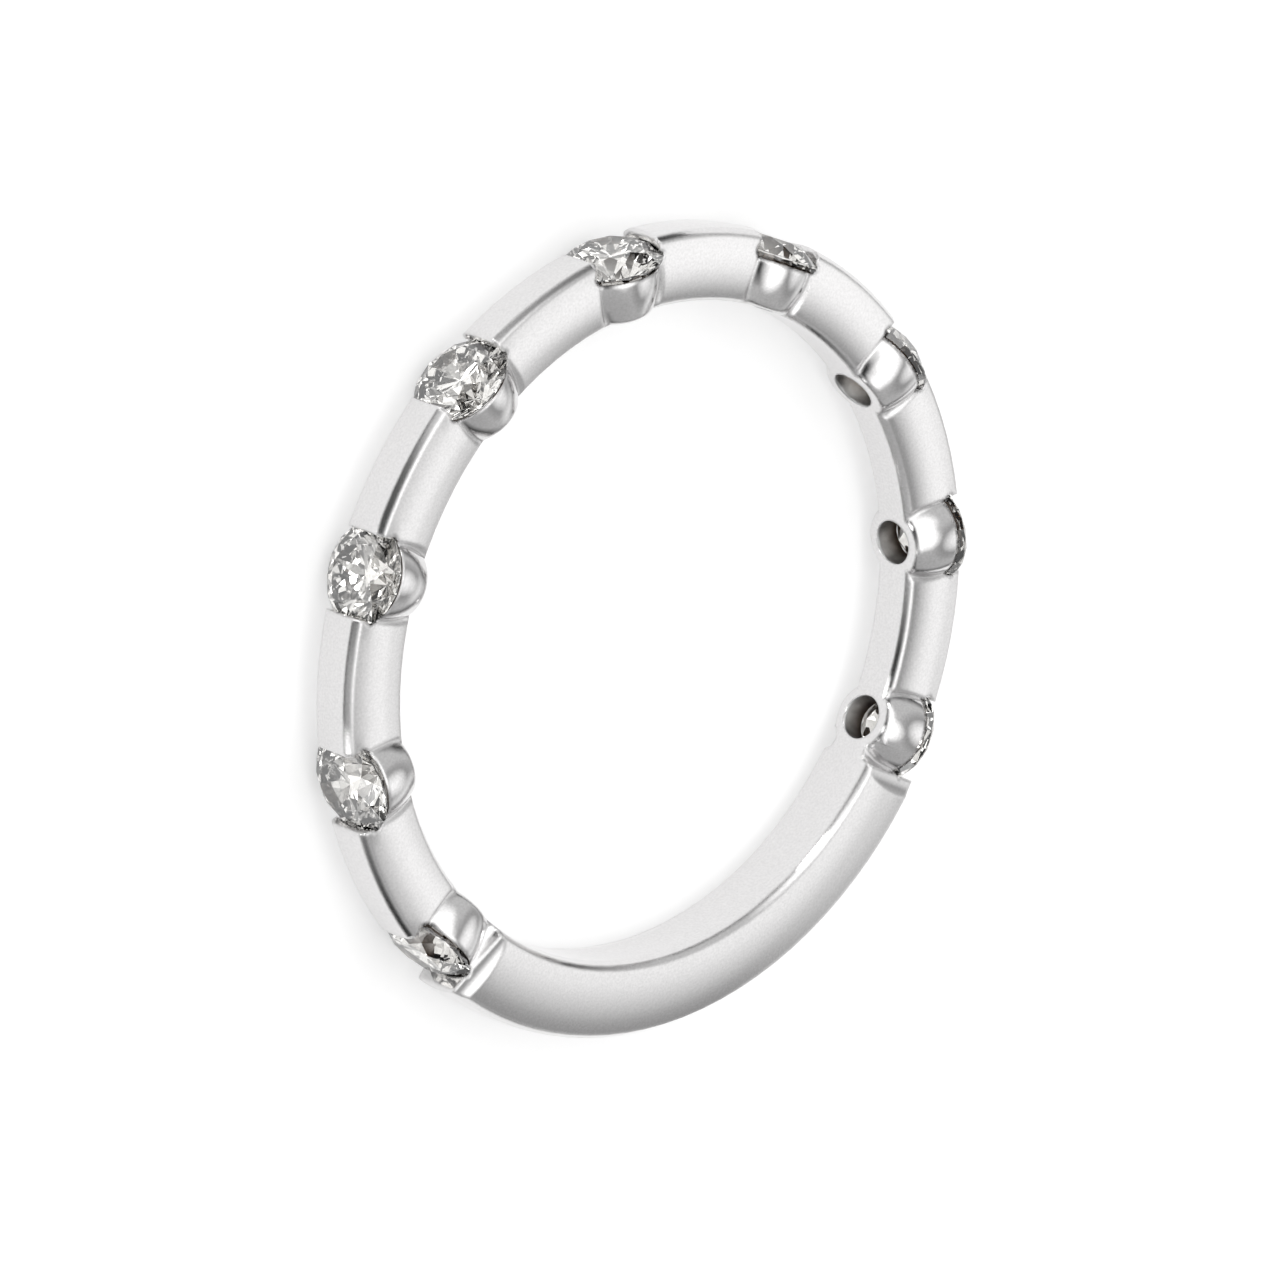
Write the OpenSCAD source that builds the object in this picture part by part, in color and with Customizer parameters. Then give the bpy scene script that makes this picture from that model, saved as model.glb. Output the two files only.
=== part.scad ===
/* [Ring] */
// Inside diameter of the finger hole
inner_d = 16.5; // [15:0.1:18]
// Angle from one stone to the next, about the ring's axis
stone_pitch = 31.4; // [30:0.1:34]

/* [Bars] */
// Radial thickness of a bar at the edges of its outer face
bar_thick = 1.79; // [1.75:0.01:1.9]
// Height of the dome on the outer face
bar_dome = 0.04; // [0.02:0.01:0.08]
// Width of the outer face between its bevels
bar_top_w = 0.94; // [0.8:0.01:1.1]
// Width across the outer bevels
bar_outer_w = 1.30; // [1.2:0.01:1.4]
// Width across the inner bevels
bar_inner_w = 1.20; // [1.1:0.01:1.3]
// Width of the face that touches the finger
bar_seat_w = 0.92; // [0.8:0.01:1]
// How far each side swells beyond its edges
bar_swell = 0.085; // [0.04:0.005:0.12]
// Depth of the bevels along the inner edges
bar_inner_bevel = 0.12; // [0.08:0.01:0.15]
// Depth of the bevels along the outer edges
bar_outer_bevel = 0.13; // [0.1:0.01:0.16]

/* [Shank] */
// Radial thickness of the plain shank at the edges of its outer face
shank_thick = 1.95; // [1.85:0.01:2.1]
// Height of the dome on the outer face
shank_dome = 0.05; // [0.02:0.01:0.08]
// Width of the outer face between its bevels
shank_top_w = 1.16; // [1:0.01:1.3]
// Width across the outer bevels
shank_outer_w = 1.54; // [1.45:0.01:1.6]
// Width across the inner bevels
shank_inner_w = 1.84; // [1.75:0.01:1.86]
// Width of the face that touches the finger
shank_seat_w = 1.08; // [1:0.01:1.3]
// Width across the soft shoulders beside that face
shank_shoulder_w = 1.58; // [1.5:0.01:1.65]
// Depth of the soft shoulders
shank_shoulder = 0.05; // [0.03:0.01:0.07]
// How far each side swells beyond its edges
shank_swell = 0.05; // [0.02:0.005:0.06]
// Depth of the bevels along the inner edges
shank_inner_bevel = 0.17; // [0.12:0.01:0.2]
// Depth of the bevels along the outer edges
shank_outer_bevel = 0.12; // [0.1:0.01:0.16]

/* [Stones] */
// Diameter of each round brilliant at its girdle
stone_d = 2.50; // [2.46:0.01:2.54]
// Radius from the ring's axis to the girdles
girdle_r = 9.56; // [9.52:0.01:9.6]
// Thickness of the girdle where the main facets meet it
girdle_t = 0.06; // [0.05:0.01:0.08]
// Table width as a part of the stone's diameter
table_ratio = 0.57; // [0.53:0.01:0.62]
// Angle of the crown's kite facets
crown_angle = 34.5; // [32:0.5:35.5]
// Angle of the pavilion's main facets
pavilion_angle = 40.8; // [40:0.1:41.2]
// Reach of the star facets from the table's edge towards the girdle
star_ratio = 0.50; // [0.45:0.01:0.6]
// Reach of the lower girdle facets from the girdle towards the point
lower_ratio = 0.77; // [0.7:0.01:0.85]
// Gap between a stone and the metal round it
stone_gap = 0.025; // [0.02:0.005:0.03]

/* [Settings] */
// Distance from a stone's axis to the end of the bar beside it
bar_end = 1.02; // [0.98:0.01:1.06]
// Bevel on the top edge of each bar's end
end_bevel = 0.09; // [0.05:0.01:0.12]
// Radius of a collet at its rim, under the girdle
collet_rim_r = 1.15; // [1.1:0.01:1.18]
// Radius of a collet at its foot, beside the finger
collet_foot_r = 0.95; // [0.92:0.01:1]
// Rounding of the collet's foot
collet_round = 0.24; // [0.15:0.01:0.3]
// Radius of the barrel curve from the collet's rim to its foot
barrel_r = 2.2; // [1.8:0.1:3]
// Radius of the hole bored behind each stone
hole_r = 0.56; // [0.45:0.01:0.6]
// Radius of the groove cut down the side beside each collet
groove_r = 0.30; // [0.25:0.01:0.35]
// Distance from a stone's axis to the bottom of that groove
groove_at = 0.74; // [0.7:0.01:0.8]
// Half width left under that groove
groove_z = 0.55; // [0.5:0.01:0.6]
// Radius of the broad hollow that narrows each end of the shank
hollow_r = 1.03; // [0.9:0.01:1.2]
// Distance from a stone's axis to the bottom of that hollow
hollow_at = 1.00; // [0.95:0.01:1.05]
// Half width left under that hollow, half way through the shank
hollow_z = 0.77; // [0.75:0.01:0.8]
// Lean of that hollow, which makes it deeper outwards
hollow_lean = 7.8; // [5:0.1:9]

/* [Hidden] */

// The middle stone stands on +Y and the plain shank is centred on -Y
stone_count = 9;
last = stone_count - 1;
stations = [for (i = [0 : last]) 90 + stone_pitch * (i - last / 2)];
// Turn of each stone about its own axis, as a setter leaves them
turns = [8, 31, 14, 40, 3, 22, 36, 11, 27];

inner_r = inner_d / 2;
bar_r = inner_r + bar_thick;
shank_r = inner_r + shank_thick;
// Extra length of every cutter beyond what it cuts
over = 0.5;
arc_fn = 96;

stone_r = stone_d / 2;
table_r = stone_r * table_ratio;
crown_r = girdle_r + girdle_t / 2;
pavilion_r = girdle_r - girdle_t / 2;
table_h = (stone_r - table_r) * tan(crown_angle);
culet_h = stone_r * tan(pavilion_angle);
rim_at = pavilion_r - (stone_r - collet_rim_r) * tan(pavilion_angle) - stone_gap;

// Radius and centre of the arc from a to b that swells by h to the left of the way from a to b
function arc_radius(a, b, h) = pow(norm(b - a), 2) / (8 * h) + h / 2;
function left_of(a, b) = [a[1] - b[1], b[0] - a[0]] / norm(b - a);
function arc_centre(a, b, h) = (a + b) / 2 + left_of(a, b) * (h - arc_radius(a, b, h));

module arc_disc(a, b, h) {
    translate(arc_centre(a, b, h)) circle(r = arc_radius(a, b, h), $fn = arc_fn);
}

// Section [radius, height] of the metal. edge holds the corners of its upper half from the
// finger out: the seat, any shoulder, then low, high and top. The polygon's bevels run on past
// those corners, to be trimmed by the finger hole, an arc on each side and one on the outer face.
module rail_section(edge, swell, dome) {
    n = len(edge);
    low = edge[n - 3];
    high = edge[n - 2];
    top = edge[n - 1];
    half = concat([edge[0] - 0.5 * (edge[1] - edge[0])],
                  [for (i = [1 : 1 : n - 4]) edge[i]],
                  [edge[n - 4] + 3 * (low - edge[n - 4]),
                   top + 3 * (high - top), top - 0.8 * (high - top)]);
    intersection() {
        polygon(concat(half, [for (i = [len(half) - 1 : -1 : 0]) [half[i][0], -half[i][1]]]));
        arc_disc(low, high, swell);
        mirror([0, 1]) arc_disc(low, high, swell);
        arc_disc(top, [top[0], -top[1]], dome);
    }
}

// Run of bars from the first stone to the last, as one hoop
module bars() {
    run_on = 0.5;
    rotate([0, 0, stations[0] - run_on])
        rotate_extrude(angle = stations[last] - stations[0] + 2 * run_on, $fn = 4 * arc_fn)
            rail_section([[inner_r, bar_seat_w / 2],
                          [inner_r + bar_inner_bevel, bar_inner_w / 2],
                          [bar_r - bar_outer_bevel, bar_outer_w / 2],
                          [bar_r, bar_top_w / 2]], bar_swell, bar_dome);
}

// Plain shank that closes the hoop
module shank() {
    rotate([0, 0, stations[last]])
        rotate_extrude(angle = 360 - stations[last] + stations[0], $fn = 4 * arc_fn)
            rail_section([[inner_r, shank_seat_w / 2],
                          [inner_r + shank_shoulder, shank_shoulder_w / 2],
                          [inner_r + shank_inner_bevel, shank_inner_w / 2],
                          [shank_r - shank_outer_bevel, shank_outer_w / 2],
                          [shank_r, shank_top_w / 2]], shank_swell, shank_dome);
}

// Puts its children at a station, with the stone's axis along X
module at_station(i) {
    rotate([0, 0, stations[i]]) children();
}

// Stands a shape that was drawn about Z on the station's axis, with Z outwards
module outwards() {
    rotate([0, 90, 0]) children();
}

// Round groove down the hoop's side, one of four about each collet
module groove(side, face) {
    translate([inner_r - over, side * groove_at, face * (groove_z + groove_r)])
        outwards() cylinder(r = groove_r, h = shank_thick + 2 * over, $fn = arc_fn);
}

// Broad hollow that brings the shank's side down to the bars' width at its end
module hollow(side, face) {
    translate([inner_r + shank_thick / 2, side * hollow_at, face * (hollow_z + hollow_r)])
        rotate([0, face * hollow_lean, 0]) outwards()
            cylinder(r = hollow_r, h = 2 * shank_thick, center = true, $fn = arc_fn);
}

// Centre of the arc that starts at the rim and runs smoothly into the rounding of the foot
function barrel_centre(foot, rim) =
    let (way = foot - rim, d = norm(way),
         turn = acos((d * d + collet_round * (2 * barrel_r - collet_round)) / (2 * d * barrel_r)))
    rim + barrel_r / d * [way[0] * cos(turn) + way[1] * sin(turn),
                          way[1] * cos(turn) - way[0] * sin(turn)];

// Collet that carries a stone: a barrel with a rounded foot, drawn [radius, height]
module collet() {
    foot = [collet_foot_r - collet_round, inner_r + collet_round - 0.02];
    centre = barrel_centre(foot, [collet_rim_r, rim_at]);
    outwards() rotate_extrude($fn = arc_fn) {
        intersection() {
            translate(centre) circle(r = barrel_r, $fn = 2 * arc_fn);
            polygon([[0, foot[1]], foot, foot + 0.4 * (foot - centre), [2 * stone_r, rim_at],
                     [0, rim_at]]);
        }
        translate(foot) circle(r = collet_round, $fn = arc_fn);
        polygon([[0, inner_r - over], [foot[0], inner_r - over], foot, [0, foot[1]]]);
    }
}

// Space above a collet's rim, between the two bars' ends, with their bevelled top edges
module opening(i) {
    ends = [i == 0 ? shank_r : bar_r, i == last ? shank_r : bar_r];
    far = end_bevel + over;
    linear_extrude(height = 4, center = true)
        polygon([[rim_at, -bar_end], [ends[0] - end_bevel, -bar_end],
                 [ends[0] + over, -bar_end - far],
                 [ends[1] + over, bar_end + far], [ends[1] - end_bevel, bar_end],
                 [rim_at, bar_end]]);
}

// Room for the stone: its pavilion, girdle and crown with the gap all round
module seat() {
    low = pavilion_r - culet_h - stone_gap / cos(pavilion_angle);
    wall = stone_r + stone_gap;
    upper_angle = atan2(star_h(), stone_r - star_r());
    high = crown_r + stone_gap;
    outwards() rotate_extrude($fn = arc_fn)
        polygon([[0, low], [wall, low + wall * tan(pavilion_angle)], [wall, high],
                 [0, high + wall * tan(upper_angle)]]);
}

module band() {
    color("gainsboro") difference() {
        union() {
            difference() {
                union() {
                    bars();
                    shank();
                }
                for (face = [-1, 1]) {
                    for (i = [0 : last], side = [-1, 1]) at_station(i) groove(side, face);
                    at_station(0) hollow(-1, face);
                    at_station(last) hollow(1, face);
                }
            }
            for (i = [0 : last]) at_station(i) collet();
        }
        cylinder(r = inner_r, h = 4, center = true, $fn = 4 * arc_fn);
        for (i = [0 : last]) at_station(i) {
            opening(i);
            seat();
            translate([inner_r - over, 0, 0])
                outwards() cylinder(r = hole_r, h = bar_thick, $fn = arc_fn);
        }
    }
}

// Round brilliant. Rings of points stand at 16 even angles: the main facets lie on the even
// ones. star_r and star_h place the points where star, kite and upper facets meet, and low_r
// those where the lower facets meet the mains.
function star_r() =
    let (edge = table_r * cos(22.5))
    edge + star_ratio * (stone_r - edge);
function star_h() = table_h * (stone_r - star_r() * cos(22.5)) / (stone_r - table_r);
low_r = stone_r * (1 - lower_ratio);
low_h = culet_h * (1 - low_r * cos(22.5) / stone_r);

function spot(r, a, h) = [r * cos(a), r * sin(a), h];
// Drop of a girdle facet's edge midway between its corners, where the plane through a point
// at radius r and height h and the two corners meets the stone's round wall
function sag(r, h) = h * stone_r * (1 - cos(11.25)) / (stone_r * cos(11.25) - r * cos(11.25));

module brilliant() {
    top = girdle_t / 2;
    table = [for (k = [0 : 7]) spot(table_r, 45 * k, top + table_h)];
    star = [for (k = [0 : 7]) spot(star_r(), 45 * k + 22.5, top + star_h())];
    upper = [for (k = [0 : 31])
        spot(stone_r, 11.25 * k, k % 2 == 0 ? top : top - sag(star_r(), star_h()))];
    lower = [for (k = [0 : 31])
        spot(stone_r, 11.25 * k, k % 2 == 0 ? -top : -top + sag(low_r, low_h))];
    low = [for (k = [0 : 7]) spot(low_r, 45 * k + 22.5, -top - low_h)];
    culet = [[0, 0, -top - culet_h]];
    s = 8;
    u = 16;
    d = 48;
    l = 80;
    c = 88;
    faces = concat(
        [[for (k = [7 : -1 : 0]) k]],
        [for (k = [0 : 7]) [k, (k + 1) % 8, s + k]],
        [for (k = [0 : 7]) [k, s + k, u + 4 * k, s + (k + 7) % 8]],
        [for (k = [0 : 7]) [s + k, u + 4 * k + 2, u + 4 * k + 1, u + 4 * k]],
        [for (k = [0 : 7]) [s + k, u + (4 * k + 4) % 32, u + 4 * k + 3, u + 4 * k + 2]],
        [for (k = [0 : 31]) [u + k, u + (k + 1) % 32, d + (k + 1) % 32, d + k]],
        [for (k = [0 : 7]) [l + k, d + 4 * k, d + 4 * k + 1, d + 4 * k + 2]],
        [for (k = [0 : 7]) [l + k, d + 4 * k + 2, d + 4 * k + 3, d + (4 * k + 4) % 32]],
        [for (k = [0 : 7]) [c, l + (k + 7) % 8, d + 4 * k, l + k]]);
    polyhedron(concat(table, star, upper, lower, low, culet), faces);
}

module stone(i) {
    color("azure") at_station(i) translate([girdle_r, 0, 0])
        outwards() rotate([0, 0, turns[i]]) brilliant();
}

band();
for (i = [0 : last]) stone(i);
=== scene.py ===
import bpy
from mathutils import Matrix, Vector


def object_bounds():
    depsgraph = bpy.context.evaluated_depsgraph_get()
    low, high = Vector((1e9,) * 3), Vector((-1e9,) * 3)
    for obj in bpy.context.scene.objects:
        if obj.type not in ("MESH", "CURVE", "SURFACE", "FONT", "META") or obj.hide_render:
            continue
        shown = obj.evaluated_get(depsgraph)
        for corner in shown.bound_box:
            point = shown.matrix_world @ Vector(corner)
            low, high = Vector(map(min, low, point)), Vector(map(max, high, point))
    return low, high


bl_info = {
    "name": "Station wedding band",
    "version": (1, 0, 0),
    "blender": (4, 5, 0),
    "location": "View3D > Sidebar > Band",
    "description": "Dresses the band in polished white gold and cut diamonds, on a lit table",
    "category": "Object",
}

import math

import bmesh
import bpy
from mathutils import Matrix, Vector

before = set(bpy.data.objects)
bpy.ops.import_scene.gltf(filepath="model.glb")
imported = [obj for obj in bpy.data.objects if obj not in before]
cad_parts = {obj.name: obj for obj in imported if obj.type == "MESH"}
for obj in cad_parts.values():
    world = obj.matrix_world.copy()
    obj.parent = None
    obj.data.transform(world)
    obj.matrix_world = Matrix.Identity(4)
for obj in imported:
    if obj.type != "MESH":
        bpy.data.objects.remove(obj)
CAD_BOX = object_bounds()
MM = 0.001
STONE_COUNT = 9
# From one stone to the next, in degrees, with the middle stone on +Y
STONE_PITCH = 31.4
# In millimetres: radius of the bore behind each stone, and from the ring's axis the bore's
# mouth, the point of the seat's cone and the collet's rim
BORE_R = 0.56
BORE_MOUTH = 8.25
SEAT_LOW = 8.418
RIM_AT = 9.419
# Slope of a stone's underside against its girdle, in degrees, and how much the radius of the
# seat below it grows with each millimetre outwards
UNDERSIDE = 40.8
SEAT_WIDENING = 1 / math.tan(math.radians(UNDERSIDE))
# In millimetres, how far past its wall a bore's look reaches, and half the width of its fade
PAST_WALL = 0.01

# In millimetres: how far polishing rounds an edge, how deep and how far apart the hairlines
# are drawn, and how long the drill's streaks are
EDGE_R = 0.15
HAIRLINE_DEPTH = 0.004
HAIRLINE_STEP = 0.06
STREAK_LENGTH = 0.2
DIAMOND_IOR = 2.417
# A Mix node's sockets for colours, by number because other kinds share their names
COLOUR_A, COLOUR_B, COLOUR_OUT = 6, 7, 2

# How far the card reaches each way, in metres, and how far under the ring it lies, in
# millimetres
CARD_REACH = 2.0
CARD_GAP = 0.01
# The camera: to its right, back from its view, its place and sensor in millimetres, and how
# near and far it sees in metres
CAMERA_RIGHT = Vector((0.73983, -0.08637, 0.66723))
CAMERA_BACK = Vector((-0.58965, 0.39433, 0.70485))
CAMERA_PLACE = Vector((-148.949, 99.206, 177.798))
SENSOR_WIDTH = 36.0
CAMERA_NEAR, CAMERA_FAR = 0.01, 10.0
# A ray crosses a stone many times before it leaves. Ended after its sixth reflection, the
# faint long ways leave the dark facets dark
MOST_CROSSINGS = 32
MOST_REFLECTIONS = 6

# Up in the photograph, along which the tent's cloth grows brighter from foot (0) to top (1)
TENT_UP = Vector((0.32398, 0.91490, -0.24081)).normalized()
TENT_RISE = ((0.0, 0.42), (0.2, 0.53), (0.5, 0.58), (1.0, 0.62))
# Where the cloth is darker: name, azimuth from +X and height above the table, radius of the
# even middle and of the whole patch, all in degrees, and how much of the light it takes
SHADES = (
    ("lens", 146.2, 44.8, 16.0, 36.0, 0.95),
    ("main_frame", -22.0, 44.5, 25.0, 40.0, 0.38),
    ("table_gap", 146.2, -82.0, 97.0, 108.0, 0.9),
)
# Lamps behind the cloth, given the same way, with their brightness beside white
GLOWS = (
    ("main", -22.0, 44.5, 0.0, 25.0, 0.82),
    ("fill", -34.0, 13.0, 0.0, 20.0, 0.4),
    ("overhead", 160.0, 74.0, 0.0, 36.0, 1.35),
    ("key", 100.0, 48.0, 0.0, 32.0, 1.1),
    ("low_back", 100.0, 14.0, 3.0, 8.0, 8.0),
    ("low_front", 150.0, 12.0, 3.0, 8.0, 8.0),
    ("low_left", 200.0, 14.0, 3.0, 8.0, 2.0),
)


def linear(hex_colour):
    """A colour in sRGB hex as Blender's linear red, green, blue and alpha."""
    parts = [int(hex_colour[i:i + 2], 16) / 255 for i in (1, 3, 5)]
    return [c / 12.92 if c <= 0.04045 else ((c + 0.055) / 1.055) ** 2.4 for c in parts] + [1.0]


def add_node(tree, kind, links=(), inputs=(), stops=(), **settings):
    """Adds a node, sets its attributes, its inputs and a ramp's grey stops, and links other
    sockets into it. links and inputs are pairs of socket and source or value."""
    node = tree.nodes.new(kind)
    for name, value in settings.items():
        setattr(node, name, value)
    for socket, value in inputs:
        node.inputs[socket].default_value = value
    for socket, source in links:
        tree.links.new(source, node.inputs[socket])
    for i, (place, grey) in enumerate(stops):
        ramp = node.color_ramp.elements
        stop = ramp[i] if i < len(ramp) else ramp.new(1.0)
        stop.position = place
        stop.color = (grey, grey, grey, 1.0)
    return node


def new_material(name):
    """An empty material of that name, with its node tree and its output node."""
    material = bpy.data.materials.new(name)
    material.use_nodes = True
    tree = material.node_tree
    tree.nodes.clear()
    return material, tree, add_node(tree, "ShaderNodeOutputMaterial")


def find_bores(tree, point):
    """Finds the bores and seats behind the stones. Gives a socket that is 1 in them and 0 on
    the rest of the band, and one with the distance from the ring's axis along a stone's."""
    # Turned back by whole steps, every stone's axis lies on +Y: height runs along it and off
    # is the distance beside it
    split = add_node(tree, "ShaderNodeSeparateXYZ", links=[("Vector", point)])
    around = add_node(tree, "ShaderNodeMath", operation="ARCTAN2",
                      links=[(0, split.outputs["X"]), (1, split.outputs["Y"])])
    step = math.radians(STONE_PITCH)
    turn = add_node(tree, "ShaderNodeMath", operation="WRAP",
                    links=[(0, around.outputs["Value"])], inputs=[(1, step / 2), (2, -step / 2)])
    flat = add_node(tree, "ShaderNodeVectorMath", operation="MULTIPLY",
                    links=[(0, point)], inputs=[(1, (1.0, 1.0, 0.0))])
    radius = add_node(tree, "ShaderNodeVectorMath", operation="LENGTH",
                      links=[(0, flat.outputs["Vector"])])
    sine = add_node(tree, "ShaderNodeMath", operation="SINE", links=[(0, turn.outputs["Value"])])
    cosine = add_node(tree, "ShaderNodeMath", operation="COSINE",
                      links=[(0, turn.outputs["Value"])])
    aside = add_node(tree, "ShaderNodeMath", operation="MULTIPLY",
                     links=[(0, radius.outputs["Value"]), (1, sine.outputs["Value"])])
    height = add_node(tree, "ShaderNodeMath", operation="MULTIPLY",
                      links=[(0, radius.outputs["Value"]), (1, cosine.outputs["Value"])])
    across = add_node(tree, "ShaderNodeCombineXYZ",
                      links=[("X", aside.outputs["Value"]), ("Z", split.outputs["Z"])])
    off = add_node(tree, "ShaderNodeVectorMath", operation="LENGTH",
                   links=[(0, across.outputs["Vector"])])
    # The wall is the bore's, and further out the seat's, which widens as a stone's underside
    seat = add_node(tree, "ShaderNodeMath", operation="MULTIPLY_ADD",
                    links=[(0, height.outputs["Value"])],
                    inputs=[(1, SEAT_WIDENING), (2, (PAST_WALL - SEAT_LOW * SEAT_WIDENING) * MM)])
    wall = add_node(tree, "ShaderNodeMath", operation="MAXIMUM",
                    links=[(0, seat.outputs["Value"])], inputs=[(1, (BORE_R + PAST_WALL) * MM)])
    depth = add_node(tree, "ShaderNodeMath", operation="SUBTRACT",
                     links=[(0, wall.outputs["Value"]), (1, off.outputs["Value"])])
    inside = add_node(tree, "ShaderNodeMapRange", links=[("Value", depth.outputs["Value"])],
                      inputs=[("From Min", -PAST_WALL * MM), ("From Max", PAST_WALL * MM)])
    # Only below the collets' rims, and not in the shank, which has no stones
    below = add_node(tree, "ShaderNodeMath", operation="LESS_THAN",
                     links=[(0, height.outputs["Value"])], inputs=[(1, RIM_AT * MM)])
    from_top = add_node(tree, "ShaderNodeMath", operation="ABSOLUTE",
                        links=[(0, around.outputs["Value"])])
    among_stones = add_node(tree, "ShaderNodeMath", operation="LESS_THAN",
                            links=[(0, from_top.outputs["Value"])],
                            inputs=[(1, step * STONE_COUNT / 2)])
    drilled = add_node(tree, "ShaderNodeMath", operation="MULTIPLY",
                       links=[(0, below.outputs["Value"]), (1, among_stones.outputs["Value"])])
    bore = add_node(tree, "ShaderNodeMath", operation="MULTIPLY",
                    links=[(0, inside.outputs["Result"]), (1, drilled.outputs["Value"])])
    return bore.outputs["Value"], height.outputs["Value"]


def polished_white_gold(look):
    """White gold, cast, rhodium plated and polished on a felt wheel: near-mirror bright, and
    slightly soft in its reflections because the wheel leaves hairlines. The bores behind the
    stones are duller, with grey streaks that are partly painted shade, and they darken into
    seats painted dark brown as the shade under each stone."""
    material, tree, out = new_material("polished_white_gold")
    point = add_node(tree, "ShaderNodeTexCoord").outputs["Object"]
    bore, height = find_bores(tree, point)
    # The wheel's hairlines lie closer together than this, and are drawn as coarse as they need
    # to be to show
    grain = add_node(tree, "ShaderNodeTexNoise", links=[("Vector", point)],
                     inputs=[("Scale", 1 / (HAIRLINE_STEP * MM)), ("Detail", 2.0),
                             ("Roughness", 0.6)])
    edge = add_node(tree, "ShaderNodeBevel", samples=6, inputs=[("Radius", EDGE_R * MM)])
    relief = add_node(tree, "ShaderNodeBump",
                      links=[("Height", grain.outputs["Fac"]), ("Normal", edge.outputs["Normal"])],
                      inputs=[("Strength", 0.12), ("Distance", HAIRLINE_DEPTH * MM)])
    satin = add_node(tree, "ShaderNodeMix", data_type="RGBA",
                     links=[("Factor", grain.outputs["Fac"])],
                     inputs=[(COLOUR_A, linear(look.metal_hex)),
                             (COLOUR_B, linear(look.hairline_hex))])
    # The bores' grey streaks are partly painted shade, and the nearer the seat the more the
    #     colour turns to the seat's dark brown, a painted shade under the stone
    streaks = add_node(tree, "ShaderNodeTexNoise", links=[("Vector", point)],
                       inputs=[("Scale", 1 / (STREAK_LENGTH * MM)), ("Detail", 3.0)])
    streaks_and_bore_shade = add_node(tree, "ShaderNodeMix", data_type="RGBA",
                             links=[("Factor", streaks.outputs["Fac"])],
                             inputs=[(COLOUR_A, linear(look.streak_and_shade_hex)),
                                     (COLOUR_B, linear(look.bore_hex))])
    # Painted shade: 0 at the bore's mouth, rising to 1 where the seat's painted dark brown takes
    # over
    seat_shade_ramp = add_node(tree, "ShaderNodeMapRange", links=[("Value", height)],
                      inputs=[("From Min", BORE_MOUTH * MM),
                              ("From Max", (SEAT_LOW + BORE_R / SEAT_WIDENING) * MM)])
    streaks_and_seat_shade = add_node(tree, "ShaderNodeMix", data_type="RGBA",
                         links=[("Factor", seat_shade_ramp.outputs["Result"]),
                                (COLOUR_A, streaks_and_bore_shade.outputs[COLOUR_OUT])],
                         inputs=[(COLOUR_B, linear(look.seat_shade_hex))])
    colour = add_node(tree, "ShaderNodeMix", data_type="RGBA",
                      links=[("Factor", bore), (COLOUR_A, satin.outputs[COLOUR_OUT]),
                             (COLOUR_B, streaks_and_seat_shade.outputs[COLOUR_OUT])])
    soft = add_node(tree, "ShaderNodeMapRange", links=[("Value", bore)],
                    inputs=[("To Min", look.metal_roughness), ("To Max", look.bore_roughness)])
    metal = add_node(tree, "ShaderNodeBsdfPrincipled",
                     links=[("Base Color", colour.outputs[COLOUR_OUT]),
                            ("Roughness", soft.outputs["Result"]),
                            ("Normal", relief.outputs["Normal"])],
                     inputs=[("Metallic", 1.0)])
    tree.links.new(metal.outputs["BSDF"], out.inputs["Surface"])
    return material


def cut_diamond(look):
    """Diamond, cut and polished into flat facets: clear, with a very high index, so it throws
    light back in hard patches of light and dark."""
    material, tree, out = new_material("cut_diamond")
    gem = add_node(tree, "ShaderNodeBsdfPrincipled",
                   inputs=[("Base Color", linear(look.stone_hex)), ("Roughness", 0.0),
                           ("IOR", DIAMOND_IOR), ("Transmission Weight", 1.0)])
    tree.links.new(gem.outputs["BSDF"], out.inputs["Surface"])
    return material


def white_card(studio):
    """Thin matt card, unprinted, on a table lit from below: even and pale, and so bright that
    the ring throws only a faint shadow on it."""
    material, tree, out = new_material("white_card")
    card = add_node(tree, "ShaderNodeBsdfPrincipled",
                    inputs=[("Base Color", linear(studio.floor_hex)), ("Roughness", 0.9),
                            ("Specular IOR Level", 0.1),
                            ("Emission Color", linear(studio.floor_hex)),
                            ("Emission Strength", studio.table_glow)])
    tree.links.new(card.outputs["BSDF"], out.inputs["Surface"])
    return material


class BandLook(bpy.types.PropertyGroup):
    """Colours and finishes of the ring."""
    metal_hex: bpy.props.StringProperty(
        name="Metal", description="Colour of the rhodium plated white gold, sRGB hex",
        default="#E9E8E8")
    hairline_hex: bpy.props.StringProperty(
        name="Hairlines", description="Colour where the hairlines lie thickest, sRGB hex",
        default="#CFCECE")
    metal_roughness: bpy.props.FloatProperty(
        name="Metal roughness", description="How far the polish softens reflections",
        default=0.08, min=0.0, max=1.0, subtype="FACTOR")
    bore_hex: bpy.props.StringProperty(
        name="Bores", description="Colour of the drilled metal behind the stones, sRGB hex",
        default="#F0F0F0")
    # Partly painted shade: the streaks' grey darkens the bores, beside the drill's random
    # streaking
    streak_and_shade_hex: bpy.props.StringProperty(
        name="Streaks", description="Colour of the drill's streaks in the bores, sRGB hex",
        default="#A8A8A8")
    # Painted shade: the seats under the stones are coloured dark brown for the shade there
    seat_shade_hex: bpy.props.StringProperty(
        name="Seats", description="Colour of the burred metal under the stones, sRGB hex",
        default="#524031")
    bore_roughness: bpy.props.FloatProperty(
        name="Bore roughness", description="Roughness of the drilled metal",
        default=0.4, min=0.0, max=1.0, subtype="FACTOR")
    stone_hex: bpy.props.StringProperty(
        name="Stones", description="Body colour of the diamonds, sRGB hex", default="#FCFAF6")


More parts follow.
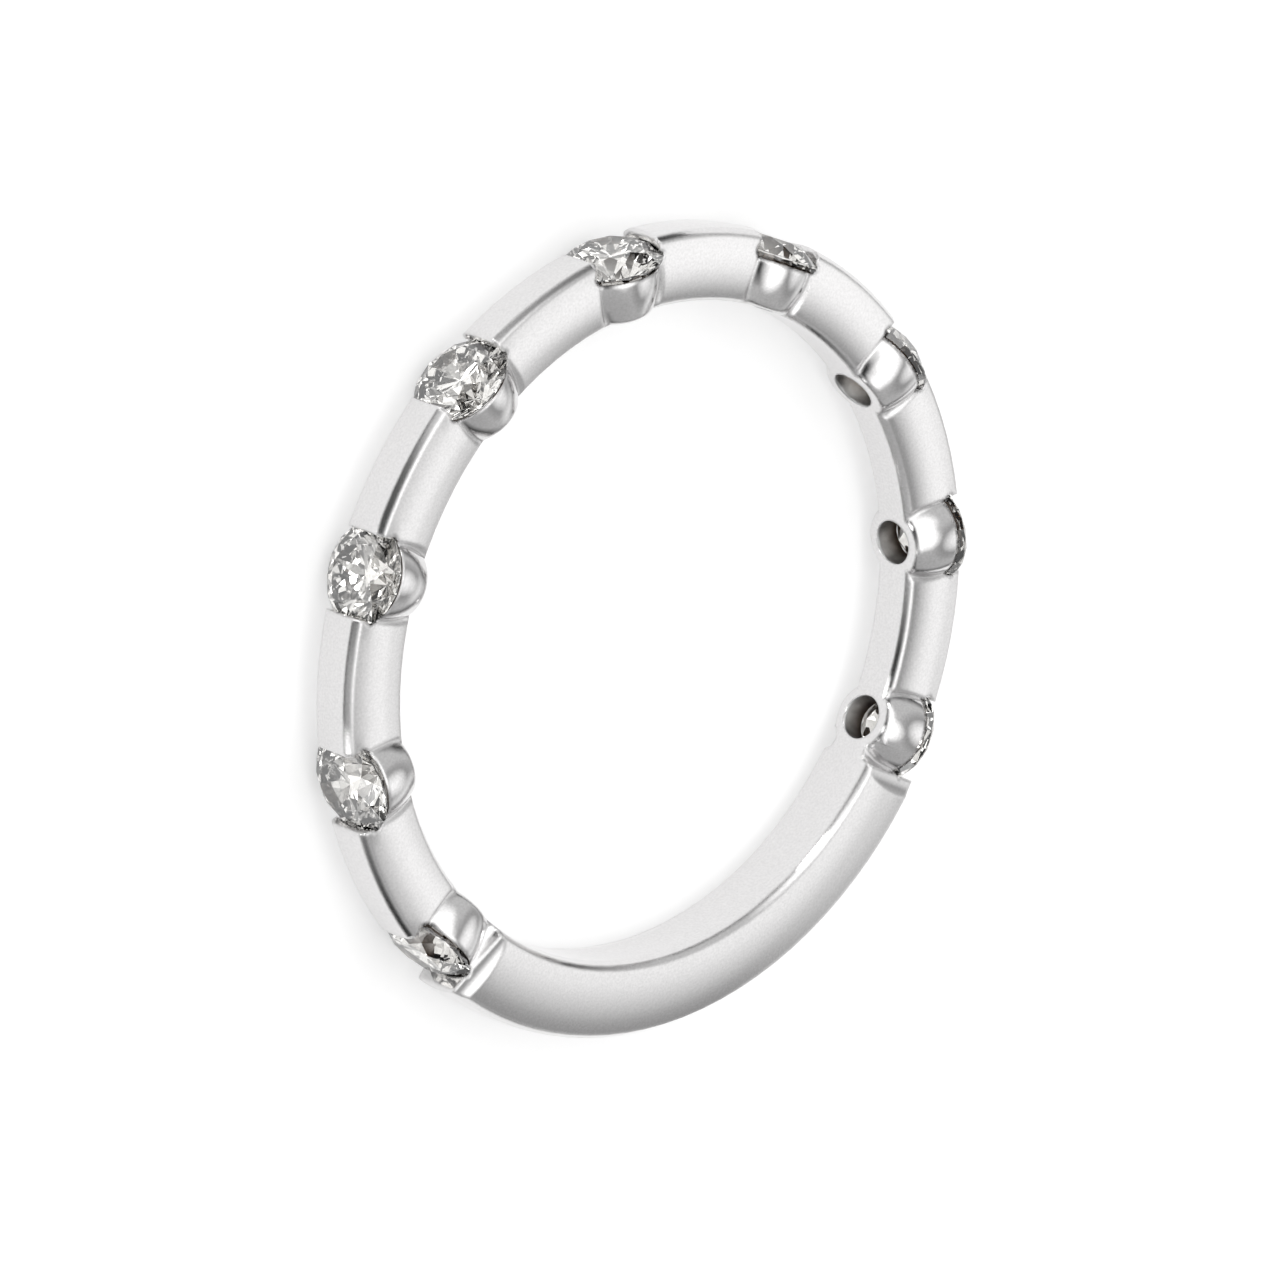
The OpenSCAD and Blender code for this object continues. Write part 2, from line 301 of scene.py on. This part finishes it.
class BandStudio(bpy.types.PropertyGroup):
    """The table, the light and the camera."""
    floor_hex: bpy.props.StringProperty(
        name="Table", description="Colour of the card under the ring, sRGB hex",
        default="#D6D6D6")
    table_glow: bpy.props.FloatProperty(
        name="Table glow", description="Light that comes up through the table",
        default=0.7, min=0.0, soft_max=2.0)
    tent_strength: bpy.props.FloatProperty(
        name="Tent light", description="Strength of the light from the white tent",
        default=1.4, min=0.0, soft_max=5.0)
    lens: bpy.props.FloatProperty(
        name="Lens", description="Focal length of the camera", default=291.9, min=1.0,
        unit="CAMERA")


class BAND_OT_polish_band(bpy.types.Operator):
    """Polishes the band"""
    bl_idname = "band.polish_band"
    bl_label = "Polish the band"

    def execute(self, context):
        look = context.scene.band_look
        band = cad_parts["band"]
        band.data.materials.clear()
        band.data.materials.append(polished_white_gold(look))
        band.data.shade_smooth()
        return {"FINISHED"}


class BAND_OT_set_stones(bpy.types.Operator):
    """Gives the stones their cut faces and their clear body"""
    bl_idname = "band.set_stones"
    bl_label = "Set the stones"

    def execute(self, context):
        look = context.scene.band_look
        diamond = cut_diamond(look)
        for number in range(1, STONE_COUNT + 1):
            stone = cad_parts["stone_%d" % number]
            stone.data.materials.clear()
            stone.data.materials.append(diamond)
            stone.data.shade_flat()
        return {"FINISHED"}


class BAND_OT_light_stage(bpy.types.Operator):
    """Lays the ring on a white card in a light tent, before the camera"""
    bl_idname = "band.light_stage"
    bl_label = "Light the stage"

    def execute(self, context):
        scene = context.scene
        studio = scene.band_studio
        self.lay_card(context, studio)
        self.light_tent(scene, studio)
        self.set_camera(context, studio)
        scene.view_settings.view_transform = "Standard"
        scene.cycles.max_bounces = MOST_CROSSINGS
        scene.cycles.transmission_bounces = MOST_CROSSINGS
        scene.cycles.glossy_bounces = MOST_REFLECTIONS
        return {"FINISHED"}

    def lay_card(self, context, studio):
        """The floor: a card much larger than the view, just under the ring's lowest point."""
        mesh = bpy.data.meshes.new("white_card")
        shape = bmesh.new()
        bmesh.ops.create_grid(shape, x_segments=1, y_segments=1, size=CARD_REACH)
        shape.to_mesh(mesh)
        shape.free()
        card = bpy.data.objects.new("white_card", mesh)
        card.location.z = CAD_BOX[0].z - CARD_GAP * MM
        mesh.materials.append(white_card(studio))
        context.collection.objects.link(card)

    def light_tent(self, scene, studio):
        """The tent: white cloth all round, brighter towards the top, with lamps behind it, a
        dark round opening for the lens and a darker gap between cloth and table."""
        world = bpy.data.worlds.new("light_tent")
        world.use_nodes = True
        tree = world.node_tree
        tree.nodes.clear()
        place = add_node(tree, "ShaderNodeTexCoord")
        way = place.outputs["Generated"]
        height = add_node(tree, "ShaderNodeVectorMath", operation="DOT_PRODUCT",
                          links=[(0, way)], inputs=[(1, TENT_UP)])
        part = add_node(tree, "ShaderNodeMapRange", links=[("Value", height.outputs["Value"])],
                        inputs=[("From Min", -1.0)])
        cloth = add_node(tree, "ShaderNodeValToRGB", stops=TENT_RISE,
                         links=[("Fac", part.outputs["Result"])])
        light = cloth.outputs["Color"]
        patches = [(*shade[:5], "MULTIPLY", 1.0, 1.0 - shade[5]) for shade in SHADES]
        patches += [(*lamp[:5], "ADD", 0.0, lamp[5]) for lamp in GLOWS]
        for name, azimuth, above, middle, whole, work, outside, inside in patches:
            turn, rise = math.radians(azimuth), math.radians(above)
            towards = Vector((math.cos(turn) * math.cos(rise), math.sin(turn) * math.cos(rise),
                              math.sin(rise)))
            near = add_node(tree, "ShaderNodeVectorMath", operation="DOT_PRODUCT", label=name,
                            links=[(0, way)], inputs=[(1, towards)])
            patch = add_node(tree, "ShaderNodeMapRange", label=name,
                             links=[("Value", near.outputs["Value"])],
                             inputs=[("From Min", math.cos(math.radians(whole))),
                                     ("From Max", math.cos(math.radians(middle))),
                                     ("To Min", outside), ("To Max", inside)])
            both = add_node(tree, "ShaderNodeMath", operation=work, label=name,
                            links=[(0, light), (1, patch.outputs["Result"])])
            light = both.outputs["Value"]
        strength = add_node(tree, "ShaderNodeMath", operation="MULTIPLY",
                            links=[(0, light)], inputs=[(1, studio.tent_strength)])
        glow = add_node(tree, "ShaderNodeBackground",
                        links=[("Strength", strength.outputs["Value"])])
        out = add_node(tree, "ShaderNodeOutputWorld")
        tree.links.new(glow.outputs["Background"], out.inputs["Surface"])
        scene.world = world

    def set_camera(self, context, studio):
        """The camera: a long lens, rolled so that the ring seems to stand on its shank."""
        right = CAMERA_RIGHT.normalized()
        back = CAMERA_BACK.normalized()
        up = back.cross(right).normalized()
        right = up.cross(back)
        data = bpy.data.cameras.new("camera")
        data.lens = studio.lens
        data.sensor_width = SENSOR_WIDTH
        data.clip_start = CAMERA_NEAR
        data.clip_end = CAMERA_FAR
        camera = bpy.data.objects.new("camera", data)
        turn = Matrix((right, up, back)).transposed().to_4x4()
        camera.matrix_world = Matrix.Translation(CAMERA_PLACE * MM) @ turn
        context.collection.objects.link(camera)
        context.scene.camera = camera


class BAND_PT_sidebar(bpy.types.Panel):
    """The ring's steps and settings in the sidebar"""
    bl_label = "Station wedding band"
    bl_idname = "BAND_PT_sidebar"
    bl_space_type = "VIEW_3D"
    bl_region_type = "UI"
    bl_category = "Band"

    def draw(self, context):
        layout = self.layout
        for group in (context.scene.band_look, context.scene.band_studio):
            box = layout.box()
            for name in group.__annotations__:
                box.prop(group, name)
        for step in STEPS:
            layout.operator(step.bl_idname)


STEPS = (BAND_OT_polish_band, BAND_OT_set_stones, BAND_OT_light_stage)
CLASSES = (BandLook, BandStudio) + STEPS + (BAND_PT_sidebar,)


def register():
    for cls in CLASSES:
        bpy.utils.register_class(cls)
    bpy.types.Scene.band_look = bpy.props.PointerProperty(type=BandLook)
    bpy.types.Scene.band_studio = bpy.props.PointerProperty(type=BandStudio)


def unregister():
    del bpy.types.Scene.band_studio
    del bpy.types.Scene.band_look
    for cls in reversed(CLASSES):
        bpy.utils.unregister_class(cls)


def main():
    register()
    bpy.ops.band.polish_band()
    bpy.ops.band.set_stones()
    bpy.ops.band.light_stage()


if __name__ == "__main__":
    main()
